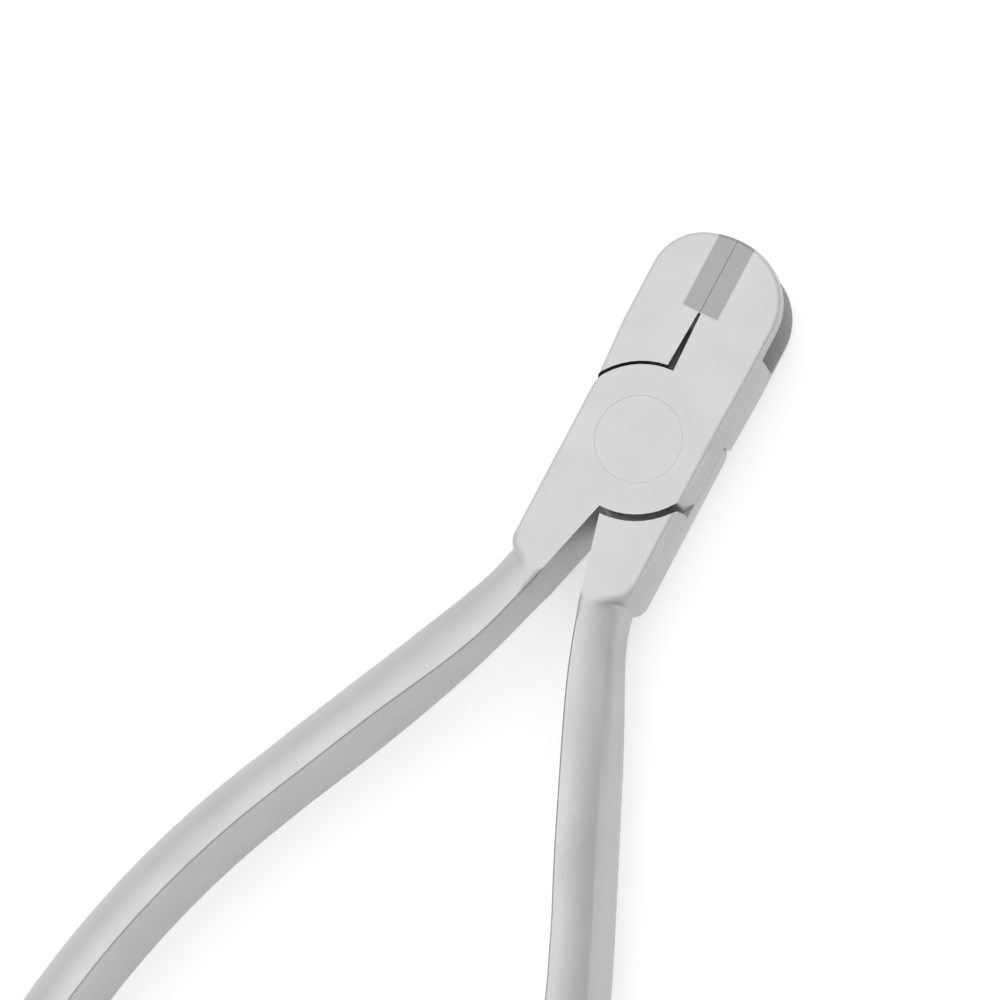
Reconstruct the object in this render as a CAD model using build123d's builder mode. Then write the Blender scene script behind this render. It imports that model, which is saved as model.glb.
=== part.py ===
from build123d import *

import os
from math import atan, cos, degrees, radians, sin, sqrt, tan

# Orthodontic pliers with a lap joint and forked, carbide-tipped jaws, closed.
# Frame: origin on the pivot axis at the rear face of the joint, +Y to the tips,
# +X to the right, +Z out of the front face. All sizes in millimetres.

# Head: joint, jaws and shanks share one flat-faced outline
head_thickness = 8.0
joint_width = 12.7
jaw_width = 13.2
waist_reach = 4.2
cheek_reach = 9.6
side_crown = 0.3
edge_round = 0.4

# Jaw nose and fork
jaw_reach = 20.95
nose_radius = 9.0
left_nose_corner = 5.0
right_nose_corner = 6.2
nose_offset = -0.22
jaw_skew = -0.1
fork_slot_width = 5.6
fork_slot_depth = 9.15
fork_floor_radius = 0.4

# Lap joint
lap_radius = 7.15
jaw_lap_gap = 0.33
shank_lap_gap = 0.65
lap_clearance = 0.05
disc_corner_radius = 3.0

# Carbide strips, their braze film and the jaws' relief, which widens down to the joint
insert_width = 1.8
insert_length = 7.75
braze_film = 0.1
mating_gap = 0.04
mating_offset = -0.45
relief_start = 0.14
disc_side_relief = 0.35
cut_side_relief = 0.4

# Pivot rivet
rivet_head_radius = 4.15
rivet_head_height = 1.6
rivet_shank_radius = 2.5
rivet_tail_radius = 3.3
rivet_tail_height = 1.0
rivet_sink = 0.03
rivet_edge_break = 0.015
fixed_clearance = 0.01
running_clearance = 0.04

# Shanks and handles
crotch_gap = 0.18
shank_reach = 17.2
shoulder_angle = 37.0
shoulder_lean = 0.7
shoulder_round = 1.5
splay_angle = 25.2
neck_reach = 15.9
neck_spread = 4.8
neck_offset = -0.25
root_depth = 4.0
root_run = 4.0
neck_run = 12.0
offset_run = 16.0
straight_run = 20.0
flare_start = 5.0
flare_run = 17.0
bow_radius = 90.0
closing_angle = 3.0
grip_run = 23.5
root_thickness = 7.96
neck_thickness = 7.5
grip_thickness = 10.9
neck_width = 4.36
handle_width = 5.0
handle_edge_break = 0.14
section_shoulder = 0.715
handle_end_round = 3.6
neck_stations = 7
end_stations = 4
end_sweep = 72.0

# Levels and lines worked out from the sizes above
lap_level = head_thickness / 2
lap_top = lap_level + lap_clearance / 2
tine_thickness = (head_thickness - fork_slot_width) / 2
fork_floor = jaw_reach - fork_slot_depth
mating_half_gap = mating_gap / 2
insert_foot = jaw_reach - insert_length
pocket_floor = insert_foot - braze_film
pocket_wall = mating_half_gap + insert_width + braze_film
neck_inner = neck_spread / 2
crotch = crotch_gap / 2
neck_slope = (neck_inner - crotch) / (neck_reach - lap_radius)
neck_angle = degrees(atan(neck_slope))
beyond = jaw_reach + shank_reach
bow_turn = splay_angle + closing_angle
bow_start = neck_run + straight_run
bow_end = bow_start + bow_radius * radians(bow_turn)
handle_run = bow_end + grip_run
turn_over = Axis((0, 0, lap_level), (0, 1, 0))


def head_outline(spread):
    """Outline of the closed head: nose dome, cheeks, waist and the two shank ends."""
    waist = joint_width / 2 + spread
    left = jaw_skew - jaw_width / 2 - spread
    right = jaw_skew + jaw_width / 2 + spread
    dome_x = jaw_skew + nose_offset
    dome_y = jaw_reach - nose_radius
    left_top = dome_y + sqrt(nose_radius**2 - (left - dome_x) ** 2)
    right_top = dome_y + sqrt(nose_radius**2 - (right - dome_x) ** 2)
    shank_end = shank_reach + shoulder_lean * (spread / side_crown - 1)
    shank_corner = -shank_end + (waist - neck_inner) * tan(radians(shoulder_angle))
    with BuildSketch() as outline:
        with BuildLine():
            ThreePointArc((left, left_top), (dome_x, jaw_reach), (right, right_top))
            Polyline(
                (right, right_top),
                (right, cheek_reach),
                (waist, waist_reach),
                (waist, shank_corner),
                (neck_inner, -shank_end),
                (-neck_inner, -shank_end),
                (-waist, shank_corner),
                (-waist, waist_reach),
                (left, cheek_reach),
                (left, left_top),
            )
        make_face()
        fillet(outline.vertices().sort_by_distance((left, left_top))[0], left_nose_corner)
        fillet(outline.vertices().sort_by_distance((right, right_top))[0], right_nose_corner)
        fillet(outline.vertices().group_by(Axis.Y)[1], shoulder_round)
    return outline.sketch


with BuildPart() as head_blank:
    # Flat faces, sides crowned towards the lap plane, jaws finished slightly askew of the joint
    for level, spread in ((0, 0), (lap_level, side_crown), (head_thickness, 0)):
        with BuildSketch(Plane.XY.offset(level)):
            add(head_outline(spread))
    loft()
    flat_faces = head_blank.faces().filter_by(GeomType.PLANE).sort_by(Axis.Z)
    fillet(flat_faces[0].edges() + flat_faces[-1].edges(), edge_round)
    # Fork slot through both jaws, from side to side
    with BuildSketch(Plane.YZ) as slot:
        with Locations((fork_floor, lap_level)):
            Rectangle(beyond, fork_slot_width, align=(Align.MIN, Align.CENTER))
        fillet(slot.vertices().group_by(Axis.X)[0], fork_floor_radius)
    extrude(amount=beyond, both=True, mode=Mode.SUBTRACT)


def jaw_area(mating, relief):
    """Right jaw in plan: pocket for the strip beside the mating line, relief down to the joint."""
    with BuildSketch() as area:
        with BuildLine():
            Polyline(
                (0, 0),
                (beyond, 0),
                (beyond, beyond),
                (mating + pocket_wall, beyond),
                (mating + pocket_wall, pocket_floor),
                (mating + relief_start, pocket_floor),
                (mating + relief, lap_radius),
                (0, 0),
            )
        make_face()
    return area.sketch


def shank_area(offset):
    """Left shank in plan, out to the blank's outline from the line of the handle's inner face."""
    with BuildSketch() as area:
        with BuildLine():
            Polyline(
                (0, 0),
                (-beyond, 0),
                (-beyond, -beyond),
                (offset - crotch - neck_slope * (beyond - lap_radius), -beyond),
                (offset - crotch, -lap_radius),
                (0, 0),
            )
        make_face()
    return area.sketch


def handle_station(distance):
    """Point and angle of the left handle's inner face at a distance along it from the shank."""
    legs = (
        (neck_run, splay_angle - neck_angle),
        (straight_run, 0),
        (bow_end - bow_start, -bow_turn),
        (grip_run + handle_end_round, 0),
    )
    x, y, angle = -neck_inner, -neck_reach, neck_angle
    for run, turn in legs:
        travel = min(distance, run)
        swing = turn * travel / run
        # A chord of an arc leaves at half its turn
        half = radians(swing / 2)
        chord = travel * (sin(half) / half if half else 1)
        x -= chord * sin(radians(angle) + half)
        y -= chord * cos(radians(angle) + half)
        angle += swing
        distance -= travel
    return x, y, angle


def blend(start, end, share):
    """Smooth step from start to end as share goes from 0 to 1."""
    share = min(max(share, 0), 1)
    return start + (end - start) * share**2 * (3 - 2 * share)


def handle_section(distance, offset, fullness=1.0):
    """D section across the left handle: flat inner face, rounded outside, neck moved by an offset."""
    x, y, angle = handle_station(distance)
    x += blend(offset, 0, distance / offset_run)
    neck = blend(root_thickness, neck_thickness, distance / root_run)
    depth = fullness * blend(neck, grip_thickness, (distance - flare_start) / flare_run) / 2
    width = blend(neck_width, handle_width, distance / neck_run)
    inner = width * (1 - fullness) / 2
    corner = inner + handle_edge_break * fullness
    level = depth - handle_edge_break * fullness
    shoulder = inner + (width - 2 * inner) * section_shoulder
    turn = depth * section_shoulder
    heading = (-sin(radians(angle)), -cos(radians(angle)), 0)
    outward = (-cos(radians(angle)), sin(radians(angle)), 0)
    with BuildSketch(Plane(origin=(x, y, lap_level), x_dir=outward, z_dir=heading)) as section:
        with BuildLine():
            Polyline((corner, -depth), (inner, -level), (inner, level), (corner, depth))
            outside = ThreePointArc((shoulder, -turn), (width - inner, 0), (shoulder, turn))
            TangentArc((shoulder, turn), (corner, depth), tangent=outside % 1)
            TangentArc((shoulder, -turn), (corner, -depth), tangent=-(outside % 0))
        make_face()
    return section.sketch


def handle_blank(offset):
    """Left handle from inside the shank to its rounded end."""
    with BuildPart() as handle:
        # Root inside the shank, then a neck that flares into the grip
        extrude(handle_section(0, offset), amount=-root_depth)
        spacing = bow_start / (neck_stations - 1)
        loft([handle_section(spacing * station, offset) for station in range(neck_stations)])
        # Bowed and straight grip of one section
        x, y, angle = handle_station(bow_start)
        swing = radians(angle)
        bow_centre = (x + bow_radius * cos(swing), y - bow_radius * sin(swing), 0)
        bow_axis = Axis(bow_centre, (0, 0, 1))
        revolve(handle_section(bow_start, offset), axis=bow_axis, revolution_arc=bow_turn)
        extrude(handle_section(bow_end, offset), amount=grip_run)
        # Rounded end, closing over a quarter of an ellipse
        ends = []
        for step in range(end_stations):
            lean = radians(end_sweep * step / (end_stations - 1))
            distance = handle_run + handle_end_round * sin(lean)
            ends.append(handle_section(distance, offset, cos(lean)))
        loft(ends)
    return handle.part


with BuildPart() as disc_corner:
    # What is trimmed off the lap disc where it leaves the head's side, beside the other jaw
    corner_x = joint_width / 2 - disc_corner_radius
    corner_y = sqrt((lap_radius - disc_corner_radius) ** 2 - corner_x**2)
    reach = beyond / corner_x
    with BuildSketch(Plane.XY.offset(lap_level)):
        with BuildLine():
            Polyline(
                (-corner_x, corner_y),
                (-corner_x * reach, corner_y * reach),
                (-corner_x * reach, corner_y),
                (-corner_x, corner_y),
            )
        make_face()
    extrude(amount=head_thickness)
    with Locations((-corner_x, corner_y, lap_level)):
        Cone(
            disc_corner_radius + side_crown,
            disc_corner_radius - side_crown,
            head_thickness,
            align=(Align.CENTER, Align.CENTER, Align.MIN),
            mode=Mode.SUBTRACT,
        )


def plain_half(mating, offset, turn):
    """One half with a right jaw and a left handle, turned over about the long axis, not yet bored."""
    with BuildPart() as layers:
        # Front layer carries the lap disc, rear layer is cut back round the other half's disc
        with BuildSketch(Plane.XY.offset(lap_top)):
            Circle(lap_radius)
            add(jaw_area(mating, disc_side_relief))
            add(shank_area(offset))
        extrude(amount=head_thickness)
        with BuildSketch(Plane.XY.offset(lap_top)):
            add(jaw_area(mating, cut_side_relief))
            Circle(lap_radius + jaw_lap_gap, mode=Mode.SUBTRACT)
        extrude(amount=-head_thickness)
        with BuildSketch(Plane.XY.offset(lap_top)):
            add(shank_area(offset))
            Circle(lap_radius + shank_lap_gap, mode=Mode.SUBTRACT)
        extrude(amount=-head_thickness)
        add(disc_corner.part, mode=Mode.SUBTRACT)
    with BuildPart() as half:
        add(layers.part.rotate(turn_over, turn))
        add(head_blank.part, mode=Mode.INTERSECT)
        add(handle_blank(offset).rotate(turn_over, turn))
    return half.part


with BuildPart() as front_half:
    add(plain_half(mating_offset, neck_offset, 0))
    with Locations((0, 0, head_thickness)):
        CounterBoreHole(
            radius=rivet_shank_radius + fixed_clearance,
            counter_bore_radius=rivet_head_radius + fixed_clearance,
            counter_bore_depth=rivet_head_height,
            depth=head_thickness,
        )


with BuildPart() as rear_half:
    # Turned over about the plier's long axis, so that the two discs lie on each other
    add(plain_half(-mating_offset, -neck_offset, 180))
    Cylinder(
        rivet_shank_radius + running_clearance,
        head_thickness,
        align=(Align.CENTER, Align.CENTER, Align.MIN),
        mode=Mode.SUBTRACT,
    )
    Cone(
        rivet_tail_radius + running_clearance,
        rivet_shank_radius + running_clearance,
        rivet_tail_height + running_clearance,
        align=(Align.CENTER, Align.CENTER, Align.MIN),
        mode=Mode.SUBTRACT,
    )


with BuildPart() as pivot_rivet:
    with BuildSketch(Plane.XZ):
        with BuildLine():
            Polyline(
                (0, rivet_sink),
                (rivet_tail_radius, rivet_sink),
                (rivet_shank_radius, rivet_tail_height),
                (rivet_shank_radius, head_thickness - rivet_head_height),
                (rivet_head_radius, head_thickness - rivet_head_height),
                (rivet_head_radius, head_thickness - rivet_edge_break),
                (rivet_head_radius - rivet_edge_break, head_thickness),
                (0, head_thickness),
                (0, rivet_sink),
            )
        make_face()
    revolve(axis=Axis.Z)


def strip_area(side, foot, width):
    """Strip beside the mating line, right of it for side 1 and left for -1, from its foot past the tip."""
    with BuildSketch() as area:
        with Locations((mating_offset + side * (mating_half_gap + width / 2), foot)):
            Rectangle(width, beyond, align=(Align.CENTER, Align.MIN))
    return area.sketch


def braze_area(side):
    """Film under and beside the strip."""
    with BuildSketch() as area:
        add(strip_area(side, pocket_floor, insert_width + braze_film))
        add(strip_area(side, insert_foot, insert_width), mode=Mode.SUBTRACT)
    return area.sketch


def tine_piece(area, level):
    """Piece as thick as a tine, trimmed to the nose outline."""
    with BuildPart() as piece:
        with BuildSketch(Plane.XY.offset(level)):
            add(area)
        extrude(amount=tine_thickness)
        add(head_blank.part, mode=Mode.INTERSECT)
    return piece.part


pieces = {
    "front_half": front_half.part,
    "rear_half": rear_half.part,
    "pivot_rivet": pivot_rivet.part,
}
for tine, level in (("front", head_thickness - tine_thickness), ("rear", 0)):
    for hand, side in (("right", 1), ("left", -1)):
        strip = strip_area(side, insert_foot, insert_width)
        pieces[f"insert_{tine}_{hand}"] = tine_piece(strip, level)
        pieces[f"braze_{tine}_{hand}"] = tine_piece(braze_area(side), level)

os.makedirs("parts", exist_ok=True)
for name, piece in pieces.items():
    piece.label = name
    export_step(piece, f"parts/{name}.step")
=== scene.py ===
"""Looks, light and camera for the orthodontic pliers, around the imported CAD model."""

import bpy
from mathutils import Matrix, Vector


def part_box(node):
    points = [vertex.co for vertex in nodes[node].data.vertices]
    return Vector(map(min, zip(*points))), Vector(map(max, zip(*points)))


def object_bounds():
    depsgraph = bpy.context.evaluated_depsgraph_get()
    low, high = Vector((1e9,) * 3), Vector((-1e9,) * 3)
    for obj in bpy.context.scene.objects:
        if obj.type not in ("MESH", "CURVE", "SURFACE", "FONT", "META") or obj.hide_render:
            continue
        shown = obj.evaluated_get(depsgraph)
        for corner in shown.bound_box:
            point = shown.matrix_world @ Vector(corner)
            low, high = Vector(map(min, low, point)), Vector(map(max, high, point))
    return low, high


MM = 0.001

# Camera, fitted to the photograph: the view, its scale and where the pivot lands in the image
IMAGE_SIZE = 1000
PIXELS_PER_MM = 10.82
PIVOT_PIXEL = (638.4, 439.0)
CAMERA_DISTANCE = 0.6
SENSOR_WIDTH = 36.0
CLIP_START = 0.01
CLIP_END = 20.0
VIEW_DIRECTION = (-0.266, 0.119, -0.957)
VIEW_UP = (-0.4233, 0.8771, 0.2267)

# Studio: a dome that is bright overhead towards the left and dimmer on the right, and one softbox.
# Each stop is where a direction stands between facing away from the bright side (0) and towards it (1),
# and the light there.
BRIGHT_SIDE = (-0.42, 0.2, 0.885)
DOME_STOPS = ((0.0, 0.50), (0.42, 0.50), (0.70, 0.70), (0.88, 0.86), (0.97, 0.98), (1.0, 1.0))
DOME_STRENGTH = 1.38
SOFTBOX_PLACE = (-0.32, 0.14, 1.15)
SOFTBOX_SIZE = 0.8
SOFTBOX_WATTS = 0.5

# Noise lies mostly between these two values
NOISE_LOW = 0.3
NOISE_HIGH = 0.7

# Finishes. Scales are features to the metre, grain depths and other lengths are metres, and a share is
# part of the way from the dark colour to the light one.

# Floor
FLOOR_SIZE = 6.0
FLOOR_DARK = (0.6, 0.6, 0.598)
FLOOR_LIGHT = (0.61, 0.61, 0.608)
FLOOR_SCALE = 14.0
FLOOR_ROUGHNESS = 0.9
FLOOR_SHINE = 0.1
FLOOR_GLOW = 0.5

# Shoulder line in plan, where the ground head ends and the blasted handle starts
SHOULDER_Y = -16.5 * MM
SHOULDER_X = 2.5 * MM
SHOULDER_SLOPE = 0.754
SHOULDER_BLEND = 0.7 * MM
SHOULDER_SOFTNESS = 1.0 * MM
SOFTNESS_SAMPLES = 8

# Milled fork slot: where it starts above the joint
FORK_FLOOR_Y = 11.75 * MM
SLOT_MARGIN = 0.05 * MM

# Forged steel
STEEL_DARK = (0.38, 0.381, 0.383)
STEEL_LIGHT = (0.56, 0.561, 0.563)
GROUND_SHARE = 0.25
MOTTLE_SHARE = 0.23
BLASTED_SHARE = 0.19
# Painted highlight: lightens the colour of the head's surfaces that slant at about 45 degrees, at its
# rounded edges
EDGE_HIGHLIGHT_SHARE = 0.5
# Painted shade: darkens the colour of upright faces, such as the sides of head and handles
WALL_SHADE_SHARE = -0.17
CLOUD_SCALE = 170.0
CLOUD_WEIGHT = 0.75
GRINDING_SCALE = (9000.0, 700.0, 9000.0)
BLASTING_SCALE = 6500.0
BLASTING_DETAIL = 2.0
HEAD_ROUGHNESS = (0.27, 0.35)
HANDLE_ROUGHNESS = (0.33, 0.42)
SLOT_ROUGHNESS = (0.60, 0.68)
HEAD_GRAIN = 2.5e-6
HANDLE_GRAIN = 6e-6

# Rivet steel
RIVET_DARK = (0.43, 0.431, 0.433)
RIVET_LIGHT = (0.7, 0.701, 0.703)
RIVET_MOTTLE_SHARE = 0.12
RIVET_CLOUD_SCALE = 260.0
RIVET_CLOUD_WEIGHT = 0.6
RIVET_RING_SCALE = 9000.0
RIVET_ROUGHNESS = (0.28, 0.36)
RIVET_GRAIN = 2e-6

# Carbide
CARBIDE_DARK = (0.27, 0.271, 0.275)
CARBIDE_LIGHT = (0.31, 0.311, 0.315)
CARBIDE_GRINDING_SCALE = (900.0, 9500.0, 9500.0)
CARBIDE_SPECK_SCALE = 5200.0
CARBIDE_SPECK_DETAIL = 4.0
CARBIDE_SPECK_WEIGHT = 0.6
CARBIDE_ROUGHNESS = (0.30, 0.38)
CARBIDE_GRAIN = 2e-6

# Braze
BRAZE_DARK = (0.40, 0.392, 0.375)
BRAZE_LIGHT = (0.47, 0.462, 0.445)
BRAZE_FLOW_SCALE = 1500.0
BRAZE_ROUGHNESS = (0.34, 0.46)
BRAZE_GRAIN = 4e-6


class Nodes:
    """A material's node tree, with short calls for the nodes that the finishes share."""

    def __init__(self, name):
        self.material = bpy.data.materials.new(name)
        self.material.use_nodes = True
        self.tree = self.material.node_tree
        self.shader = self.tree.nodes["Principled BSDF"]
        self.place = self.add("ShaderNodeTexCoord").outputs["Object"]

    def add(self, kind, **values):
        """Adds a node and sets its properties."""
        node = self.tree.nodes.new(kind)
        for key, value in values.items():
            setattr(node, key, value)
        return node

    def put(self, socket, value):
        """Links an output to a socket, or sets a constant on it."""
        if isinstance(value, bpy.types.NodeSocket):
            self.tree.links.new(value, socket)
        else:
            socket.default_value = value

    def parts(self, vector):
        """X, Y and Z of a vector."""
        split = self.add("ShaderNodeSeparateXYZ")
        self.put(split.inputs["Vector"], vector)
        return split.outputs

    def math(self, operation, *values):
        """One operation on up to three numbers."""
        node = self.add("ShaderNodeMath", operation=operation)
        for socket, value in zip(node.inputs, values):
            self.put(socket, value)
        return node.outputs[0]

    def total(self, first, *others):
        """Sum of the numbers."""
        for other in others:
            first = self.math("ADD", first, other)
        return first

    def spread(self, value, ends, start=NOISE_LOW, end=NOISE_HIGH):
        """Maps a value between start and end to the two ends."""
        node = self.add("ShaderNodeMapRange")
        self.put(node.inputs["Value"], value)
        self.put(node.inputs["From Min"], start)
        self.put(node.inputs["From Max"], end)
        self.put(node.inputs["To Min"], ends[0])
        self.put(node.inputs["To Max"], ends[1])
        return node.outputs["Result"]

    def mix(self, share, first, second):
        """Number between two numbers."""
        node = self.add("ShaderNodeMix", data_type="FLOAT")
        self.put(node.inputs["Factor"], share)
        self.put(node.inputs["A"], first)
        self.put(node.inputs["B"], second)
        return node.outputs["Result"]

    def tint(self, share, dark, light):
        """Colour between two colours. The node's colour sockets follow its numbers and vectors."""
        node = self.add("ShaderNodeMix", data_type="RGBA")
        self.put(node.inputs["Factor"], share)
        self.put(node.inputs[6], (*dark, 1.0))
        self.put(node.inputs[7], (*light, 1.0))
        return node.outputs[2]

    def noise(self, scale, detail=3.0):
        """Noise of one scale, or of one scale along each axis."""
        node = self.add("ShaderNodeTexNoise")
        place = self.place
        if isinstance(scale, tuple):
            mapping = self.add("ShaderNodeMapping")
            self.put(mapping.inputs["Vector"], place)
            self.put(mapping.inputs["Scale"], scale)
            place = mapping.outputs["Vector"]
            scale = 1.0
        self.put(node.inputs["Vector"], place)
        self.put(node.inputs["Scale"], scale)
        self.put(node.inputs["Detail"], detail)
        return node.outputs["Fac"]

    def rings(self, scale):
        """Noise in rings about the pivot axis."""
        x, y, _ = self.parts(self.place)
        squared = self.math("ADD", self.math("MULTIPLY", x, x), self.math("MULTIPLY", y, y))
        node = self.add("ShaderNodeTexNoise", noise_dimensions="1D")
        self.put(node.inputs["W"], self.math("MULTIPLY", self.math("SQRT", squared), scale))
        self.put(node.inputs["Scale"], 1.0)
        return node.outputs["Fac"]

    def levelness(self):
        """1 where the surface lies level, 0 where it stands upright."""
        _, _, upward = self.parts(self.add("ShaderNodeNewGeometry").outputs["Normal"])
        return self.math("MULTIPLY", upward, upward)

    def slant(self):
        """1 where the surface stands at 45 degrees, 0 where it lies level or stands upright."""
        level = self.levelness()
        upright = self.math("SUBTRACT", 1.0, level)
        return self.math("MULTIPLY", self.math("MULTIPLY", level, upright), 4.0)

    def soften(self, radius):
        """Normal that rounds the edges over by that radius."""
        node = self.add("ShaderNodeBevel", samples=SOFTNESS_SAMPLES)
        self.put(node.inputs["Radius"], radius)
        return node.outputs["Normal"]

    def bump(self, height, depth, normal=None):
        """Normal with a grain of that depth, over another normal if one is given."""
        node = self.add("ShaderNodeBump")
        self.put(node.inputs["Height"], height)
        self.put(node.inputs["Distance"], depth)
        if normal:
            self.put(node.inputs["Normal"], normal)
        return node.outputs["Normal"]

    def metal(self, colour, roughness, normal):
        """Finishes the material as bare metal."""
        self.put(self.shader.inputs["Metallic"], 1.0)
        self.put(self.shader.inputs["Base Color"], colour)
        self.put(self.shader.inputs["Roughness"], roughness)
        self.put(self.shader.inputs["Normal"], normal)
        return self.material


def forged_steel(slot_low, slot_high):
    """One half: ground satin head with a painted highlight on its slanted edges, dull fork slot, soft
    shoulder, blasted handle, and painted shade on all upright faces.
    """
    n = Nodes("forged_steel")
    x, y, z = n.parts(n.place)

    # How far a point lies past the shoulder line, towards the jaws
    reach = n.math("SUBTRACT", n.math("ABSOLUTE", x), SHOULDER_X)
    beyond = n.math("SUBTRACT", y, n.math("MULTIPLY_ADD", reach, SHOULDER_SLOPE, SHOULDER_Y))
    head = n.spread(beyond, (0.0, 1.0), -SHOULDER_BLEND, SHOULDER_BLEND)
    off_line = n.math("ABSOLUTE", beyond)
    softness = n.spread(off_line, (SHOULDER_SOFTNESS, 0.0), SHOULDER_SOFTNESS, 2 * SHOULDER_SOFTNESS)

    # Walls of the fork slot
    off_middle = n.math("ABSOLUTE", n.math("SUBTRACT", z, (slot_low + slot_high) / 2))
    between = n.math("LESS_THAN", off_middle, (slot_high - slot_low) / 2 + SLOT_MARGIN)
    slot = n.math("MULTIPLY", between, n.math("GREATER_THAN", y, FORK_FLOOR_Y))

    grain = n.mix(head, n.noise(BLASTING_SCALE, BLASTING_DETAIL), n.noise(GRINDING_SCALE))
    tone = n.mix(CLOUD_WEIGHT, grain, n.noise(CLOUD_SCALE))
    mottle = n.spread(tone, (GROUND_SHARE, GROUND_SHARE + MOTTLE_SHARE))
    blasted = n.mix(head, BLASTED_SHARE, 0.0)
    # Painted highlight: the head is lightened where its surface slants, at the rounded edges
    edge_highlight = n.math("MULTIPLY", n.math("MULTIPLY", n.slant(), head), EDGE_HIGHLIGHT_SHARE)
    # Painted shade: colour is darkened where the surface stands upright
    wall_shade = n.math("MULTIPLY", n.math("SUBTRACT", 1.0, n.levelness()), WALL_SHADE_SHARE)
    colour = n.tint(n.total(mottle, blasted, edge_highlight, wall_shade), STEEL_DARK, STEEL_LIGHT)

    outside = n.mix(head, n.spread(grain, HANDLE_ROUGHNESS), n.spread(grain, HEAD_ROUGHNESS))
    roughness = n.mix(slot, outside, n.spread(grain, SLOT_ROUGHNESS))
    depth = n.mix(head, HANDLE_GRAIN, HEAD_GRAIN)
    return n.metal(colour, roughness, n.bump(grain, depth, n.soften(softness)))


def rivet_steel():
    """Rivet faced on a lathe after setting: faint rings about its axis, and a painted highlight that
    lightens its slanted rim.
    """
    n = Nodes("rivet_steel")
    rings = n.rings(RIVET_RING_SCALE)
    tone = n.mix(RIVET_CLOUD_WEIGHT, rings, n.noise(RIVET_CLOUD_SCALE))
    # Faint mottle, plus a painted highlight: the rim is lightened in colour where its surface slants
    mottle_and_rim_highlight = n.total(n.spread(tone, (0.0, RIVET_MOTTLE_SHARE)), n.slant())
    colour = n.tint(mottle_and_rim_highlight, RIVET_DARK, RIVET_LIGHT)
    return n.metal(colour, n.spread(rings, RIVET_ROUGHNESS), n.bump(rings, RIVET_GRAIN))


def carbide():
    """Sintered carbide strip, ground: darker and finer than the steel beside it."""
    n = Nodes("carbide")
    ground = n.noise(CARBIDE_GRINDING_SCALE)
    tone = n.mix(CARBIDE_SPECK_WEIGHT, ground, n.noise(CARBIDE_SPECK_SCALE, CARBIDE_SPECK_DETAIL))
    colour = n.tint(n.spread(tone, (0.0, 1.0)), CARBIDE_DARK, CARBIDE_LIGHT)
    return n.metal(colour, n.spread(ground, CARBIDE_ROUGHNESS), n.bump(ground, CARBIDE_GRAIN))


def braze():
    """Silver braze, slightly warm, showing as a hairline round each strip."""
    n = Nodes("braze")
    flow = n.noise(BRAZE_FLOW_SCALE)
    colour = n.tint(n.spread(flow, (0.0, 1.0)), BRAZE_DARK, BRAZE_LIGHT)
    return n.metal(colour, n.spread(flow, BRAZE_ROUGHNESS), n.bump(flow, BRAZE_GRAIN))


def floor_sheet():
    """Pale frosted sheet with a faint mottle, lit a little from below."""
    n = Nodes("floor_sheet")
    mottle = n.spread(n.noise(FLOOR_SCALE), (0.0, 1.0))
    n.put(n.shader.inputs["Base Color"], n.tint(mottle, FLOOR_DARK, FLOOR_LIGHT))
    n.put(n.shader.inputs["Roughness"], FLOOR_ROUGHNESS)
    n.put(n.shader.inputs["Specular IOR Level"], FLOOR_SHINE)
    n.put(n.shader.inputs["Emission Color"], (1.0, 1.0, 1.0, 1.0))
    n.put(n.shader.inputs["Emission Strength"], FLOOR_GLOW)
    return n.material


def dress(nodes, material):
    """Puts one material in each node's slots."""
    for node in nodes:
        node.data.materials.clear()
        node.data.materials.append(material)


def add_floor(level):
    """Large square sheet at that height."""
    half = FLOOR_SIZE / 2
    corners = [(-half, -half, level), (half, -half, level), (half, half, level), (-half, half, level)]
    mesh = bpy.data.meshes.new("floor")
    mesh.from_pydata(corners, [], [(0, 1, 2, 3)])
    floor = bpy.data.objects.new("floor", mesh)
    bpy.context.scene.collection.objects.link(floor)
    mesh.materials.append(floor_sheet())


def add_dome():
    """World light that depends on how far a direction faces the bright side."""
    world = bpy.data.worlds.new("studio")
    world.use_nodes = True
    bpy.context.scene.world = world
    tree = world.node_tree
    direction = tree.nodes.new("ShaderNodeTexCoord").outputs["Generated"]
    facing = tree.nodes.new("ShaderNodeVectorMath")
    facing.operation = "DOT_PRODUCT"
    facing.inputs[1].default_value = Vector(BRIGHT_SIDE).normalized()
    share = tree.nodes.new("ShaderNodeMapRange")
    share.inputs["From Min"].default_value = -1.0
    ramp = tree.nodes.new("ShaderNodeValToRGB")
    stops = ramp.color_ramp.elements
    while len(stops) < len(DOME_STOPS):
        stops.new(0.5)
    for stop, (place, light) in zip(stops, DOME_STOPS):
        stop.position = place
        stop.color = (light, light, light, 1.0)
    background = tree.nodes["Background"]
    background.inputs["Strength"].default_value = DOME_STRENGTH
    tree.links.new(direction, facing.inputs[0])
    tree.links.new(facing.outputs["Value"], share.inputs["Value"])
    tree.links.new(share.outputs["Result"], ramp.inputs["Fac"])
    tree.links.new(ramp.outputs["Color"], background.inputs["Color"])


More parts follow.
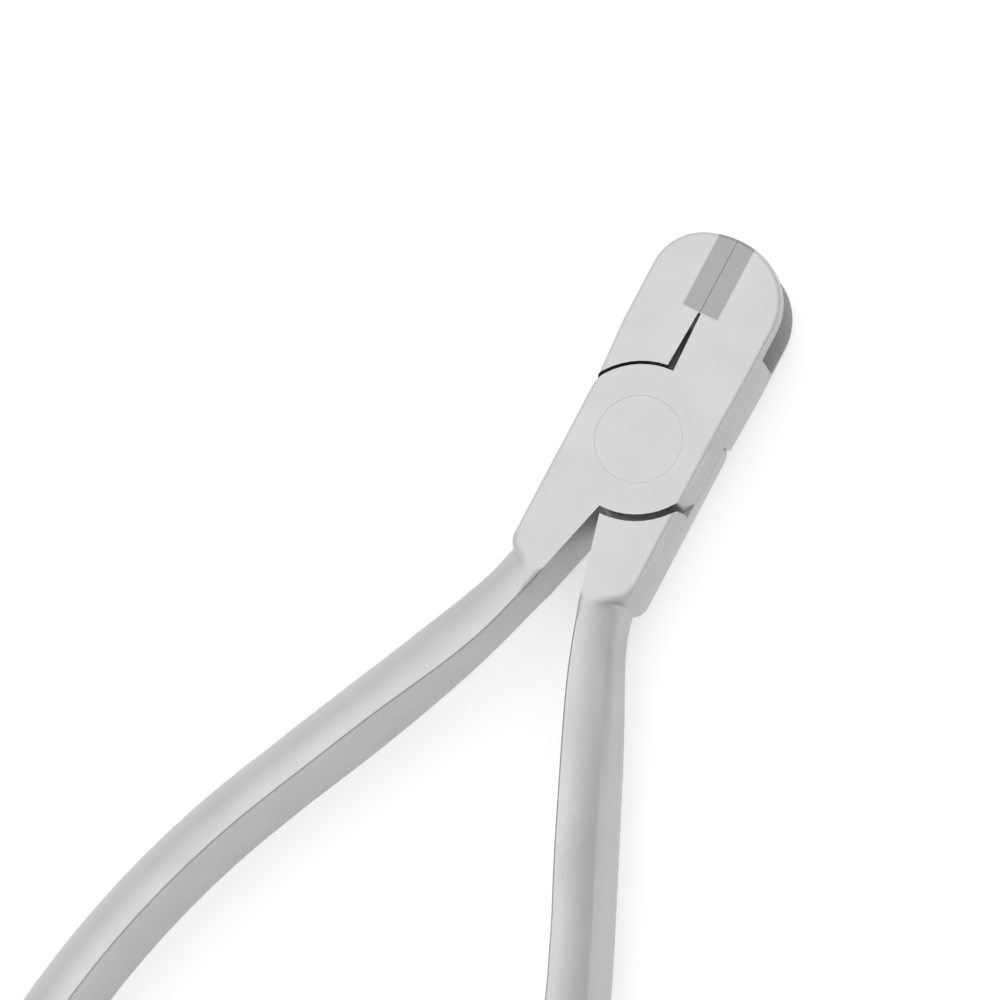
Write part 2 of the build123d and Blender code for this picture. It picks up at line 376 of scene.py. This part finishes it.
def add_softbox():
    """Square area light, aimed at the origin."""
    softbox = bpy.data.lights.new("softbox", "AREA")
    softbox.shape = "SQUARE"
    softbox.size = SOFTBOX_SIZE
    softbox.energy = SOFTBOX_WATTS
    lamp = bpy.data.objects.new("softbox", softbox)
    bpy.context.scene.collection.objects.link(lamp)
    lamp.location = SOFTBOX_PLACE
    lamp.rotation_euler = (-lamp.location).to_track_quat("-Z", "Y").to_euler()


def add_camera(target):
    """Camera at the photograph's angle, with the target point on its pixel."""
    back = -Vector(VIEW_DIRECTION).normalized()
    right = Vector(VIEW_UP).cross(back).normalized()
    up = back.cross(right)
    metres_per_pixel = MM / PIXELS_PER_MM
    across = (PIVOT_PIXEL[0] - IMAGE_SIZE / 2) * metres_per_pixel
    above = (IMAGE_SIZE / 2 - PIVOT_PIXEL[1]) * metres_per_pixel
    lens = bpy.data.cameras.new("camera")
    lens.sensor_width = SENSOR_WIDTH
    lens.lens = SENSOR_WIDTH * CAMERA_DISTANCE / (IMAGE_SIZE * metres_per_pixel)
    lens.clip_start = CLIP_START
    lens.clip_end = CLIP_END
    camera = bpy.data.objects.new("camera", lens)
    bpy.context.scene.collection.objects.link(camera)
    eye = target - right * across - up * above + back * CAMERA_DISTANCE
    turn = Matrix((right, up, back)).transposed().to_4x4()
    camera.matrix_world = Matrix.Translation(eye) @ turn
    bpy.context.scene.camera = camera


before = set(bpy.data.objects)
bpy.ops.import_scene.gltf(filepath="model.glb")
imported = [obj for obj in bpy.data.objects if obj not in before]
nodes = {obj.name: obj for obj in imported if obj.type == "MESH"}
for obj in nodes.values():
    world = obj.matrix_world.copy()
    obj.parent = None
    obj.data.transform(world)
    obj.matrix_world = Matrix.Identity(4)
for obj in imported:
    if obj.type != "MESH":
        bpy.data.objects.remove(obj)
cad_box = [list(corner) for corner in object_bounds()]
bpy.context.scene.view_settings.view_transform = "Standard"

slot_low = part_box("insert_rear_right")[1].z
slot_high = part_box("insert_front_right")[0].z
dress([nodes["front_half"], nodes["rear_half"]], forged_steel(slot_low, slot_high))
dress([nodes["pivot_rivet"]], rivet_steel())
dress([node for name, node in nodes.items() if name.startswith("insert_")], carbide())
dress([node for name, node in nodes.items() if name.startswith("braze_")], braze())

add_floor(cad_box[0][2])
add_dome()
add_softbox()
add_camera(Vector((0.0, 0.0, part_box("pivot_rivet")[1].z)))
